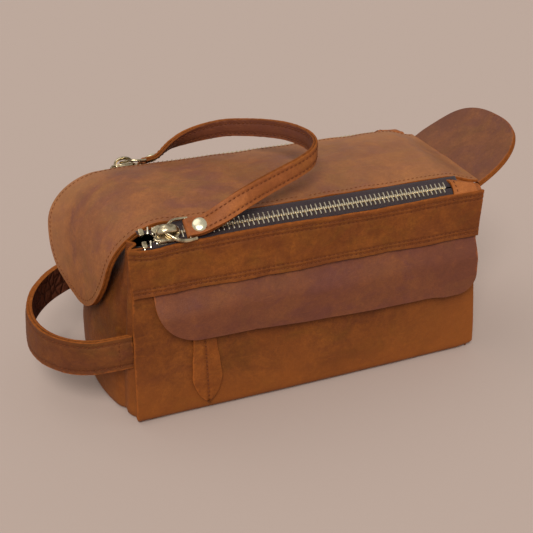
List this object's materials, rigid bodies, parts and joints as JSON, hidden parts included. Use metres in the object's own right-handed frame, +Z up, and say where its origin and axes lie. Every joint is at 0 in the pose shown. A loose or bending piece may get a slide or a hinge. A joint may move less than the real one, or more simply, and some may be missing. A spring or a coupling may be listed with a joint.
{
  "type": "shaving kit bag",
  "caption": "Soft leather wash bag with a zipped lid that lifts at one end, a carrying strap between its zip sliders, a side handle, end flaps and a flapped front pocket.",
  "frame": {"origin": "centre of the bag's base, on the surface that it stands on", "axes": "+X along the bag to the ear's end, +Y to the back, +Z up"},
  "size_m": [0.3661, 0.1399, 0.1735],
  "materials": {
    "leather": "oiled, matte to satin",
    "lid_leather": "oiled, matte to satin",
    "dark_leather": "oiled, matte",
    "lining": "matte",
    "zip_tape": "matte woven",
    "antique_brass": "aged"
  },
  "bodies": {
    "bag": {"body_wrap": "leather", "left_gusset": "leather", "right_gusset": "leather", "front_band": "leather", "back_band": "leather", "front_end_cover": "leather", "back_end_cover": "leather", "lid_heel": "lid_leather", "main_lining": "lining", "front_body_tape": "zip_tape", "back_body_tape": "zip_tape", "front_body_teeth": "antique_brass", "back_body_teeth": "antique_brass", "body_zip_stops": "antique_brass", "pocket_bag": "lining", "pocket_zip_tapes": "zip_tape", "pocket_zip_teeth": "antique_brass", "handle_stubs": "leather"},
    "lid": {"lid_panel": "lid_leather", "lid_lining": "lining", "front_lid_tape": "zip_tape", "back_lid_tape": "zip_tape", "front_lid_teeth": "antique_brass", "back_lid_teeth": "antique_brass", "lid_zip_stops": "antique_brass"},
    "left_flap": {"left_flap_outer": "lid_leather", "left_flap_inner": "lid_leather"},
    "sliders": {"front_slider": "antique_brass", "back_slider": "antique_brass"},
    "shackles": {"front_shackle": "antique_brass", "back_shackle": "antique_brass", "front_shackle_pin": "antique_brass", "back_shackle_pin": "antique_brass"},
    "strap": {"top_strap": "leather", "front_rivet": "antique_brass", "back_rivet": "antique_brass"},
    "right_ear": {"right_ear_outer": "leather", "right_ear_inner": "leather"},
    "side_handle": {"side_handle_outer": "leather", "side_handle_inner": "leather"},
    "pocket_flap": {"pocket_flap": "dark_leather"},
    "pocket_slider": {"pocket_slider": "antique_brass"},
    "pocket_puller": {"pocket_link": "antique_brass", "pocket_tab": "dark_leather"}
  },
  "joints": [
    {"name": "lid_open", "type": "hinge", "parent": "bag", "child": "lid", "pos_m": [0.106, 0, 0.1436], "axis": [0, 1, 0], "range_deg": [0, 85]},
    {"name": "zip_travel", "type": "slide", "parent": "lid", "child": "sliders", "axis": [1, 0, 0], "range_m": [0, 0.185]},
    {"name": "shackle_swing", "type": "hinge", "parent": "sliders", "child": "shackles", "pos_m": [-0.101, 0, 0.14], "axis": [0, 1, 0], "range_deg": [-85, 0]},
    {"name": "strap_swing", "type": "hinge", "parent": "shackles", "child": "strap", "pos_m": [-0.088, 0, 0.14], "axis": [0, -1, 0], "range_deg": [-5, 70]},
    {"name": "left_flap_lift", "type": "hinge", "parent": "lid", "child": "left_flap", "pos_m": [-0.1106, 0, 0.1436], "axis": [-0.23, 0.9732, 0], "range_deg": [0, 60]},
    {"name": "right_ear_fold", "type": "hinge", "parent": "bag", "child": "right_ear", "pos_m": [0.1321, 0, 0.1329], "axis": [0, -1, 0], "range_deg": [-95, 50]},
    {"name": "side_handle_swing", "type": "hinge", "parent": "bag", "child": "side_handle", "pos_m": [-0.1349, 0, 0.055], "axis": [0, 1, 0], "range_deg": [-36, 36]},
    {"name": "pocket_flap_lift", "type": "hinge", "parent": "bag", "child": "pocket_flap", "pos_m": [0, -0.0645, 0.09559], "axis": [-1, 0, 0], "range_deg": [0, 110]},
    {"name": "pocket_zip_travel", "type": "slide", "parent": "bag", "child": "pocket_slider", "axis": [1, 0, 0], "range_m": [0, 0.185]},
    {"name": "pocket_tab_swing", "type": "hinge", "parent": "pocket_slider", "child": "pocket_puller", "pos_m": [-0.082, -0.0633, 0.07791], "axis": [0, -0.9987, 0.0507], "range_deg": [-25, 25]}
  ],
  "couplings": [
    {"joint": "zip_travel", "follows": "lid_open", "m_per_rad": 0.12457},
    {"joint": "shackle_swing", "follows": "lid_open", "ratio": -0.9999}
  ]
}
